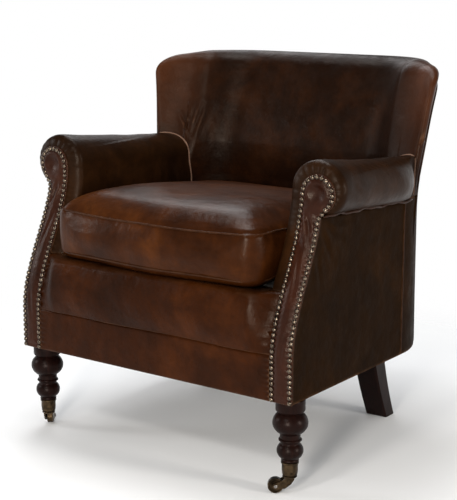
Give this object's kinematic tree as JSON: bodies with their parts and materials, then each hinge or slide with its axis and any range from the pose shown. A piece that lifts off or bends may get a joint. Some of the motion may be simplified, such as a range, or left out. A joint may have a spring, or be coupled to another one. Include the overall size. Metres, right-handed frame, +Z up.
{
  "type": "club chair",
  "caption": "Low leather club chair with scrolled arms edged with nails, a curved winged back, a loose box cushion, turned front legs on castors and swept rear legs.",
  "frame": {"origin": "on the floor, at the middle of the width and depth", "axes": "+Z up, the chair faces -Y, the sitter's left is +X"},
  "size_m": [0.768, 0.6998, 0.783],
  "materials": {
    "leather": "worn pull-up hide, dark espresso to chestnut, satin",
    "cushion_leather": "worn pull-up hide, creased and polished by use",
    "welt": "rubbed pale tan welt cord",
    "mahogany": "near black stained mahogany, waxed",
    "beech": "sawn beech frame timber",
    "castor_brass": "dark aged brass",
    "nail_brass": "antique brass nail heads, rubbed on top",
    "steel": "dull pin steel",
    "jute": "woven jute webbing",
    "felt": "dark felt over the springs",
    "cambric": "black dust cloth"
  },
  "bodies": {
    "chair": {"inside_back": "leather", "outside_back": "leather", "front_lip": "leather", "front_border": "leather", "seat_cushion": "cushion_leather", "back_welt": "welt", "front_rail": "beech", "back_rail": "beech", "tacking_rail": "beech", "crest_rail": "beech", "cross_web_1": "jute", "cross_web_2": "jute", "cross_web_3": "jute", "cross_web_4": "jute", "long_web_1": "jute", "long_web_2": "jute", "long_web_3": "jute", "long_web_4": "jute", "long_web_5": "jute", "seat_deck": "felt", "dust_cover": "cambric", "left_arm_cover": "leather", "left_facing": "leather", "left_outside_arm": "leather", "left_arm_post": "beech", "left_back_post": "beech", "left_side_rail": "beech", "left_arm_rail": "beech", "left_front_block": "beech", "left_rear_block": "beech", "left_front_leg": "mahogany", "left_rear_leg": "mahogany", "left_castor_cup": "castor_brass", "left_swivel_pin": "steel", "right_arm_cover": "leather", "right_facing": "leather", "right_outside_arm": "leather", "right_arm_post": "beech", "right_back_post": "beech", "right_side_rail": "beech", "right_arm_rail": "beech", "right_front_block": "beech", "right_rear_block": "beech", "right_front_leg": "mahogany", "right_rear_leg": "mahogany", "right_castor_cup": "castor_brass", "right_swivel_pin": "steel"},
    "left_castor": {"left_castor_horn": "castor_brass", "left_axle": "steel"},
    "left_wheel": {"left_castor_wheel": "castor_brass"},
    "right_castor": {"right_castor_horn": "castor_brass", "right_axle": "steel"},
    "right_wheel": {"right_castor_wheel": "castor_brass"}
  },
  "joints": [
    {"name": "left_castor_swivel", "type": "hinge", "parent": "chair", "child": "left_castor", "pos_m": [0.313, -0.2845, 0.033], "axis": [0, 0, 1], "continuous": true},
    {"name": "left_wheel_roll", "type": "hinge", "parent": "left_castor", "child": "left_wheel", "pos_m": [0.29124, -0.30048, 0.015], "axis": [0.592, -0.8059, 0], "continuous": true},
    {"name": "right_castor_swivel", "type": "hinge", "parent": "chair", "child": "right_castor", "pos_m": [-0.313, -0.2845, 0.033], "axis": [0, 0, 1], "continuous": true},
    {"name": "right_wheel_roll", "type": "hinge", "parent": "right_castor", "child": "right_wheel", "pos_m": [-0.32898, -0.26274, 0.015], "axis": [-0.8059, -0.592, 0], "continuous": true}
  ]
}
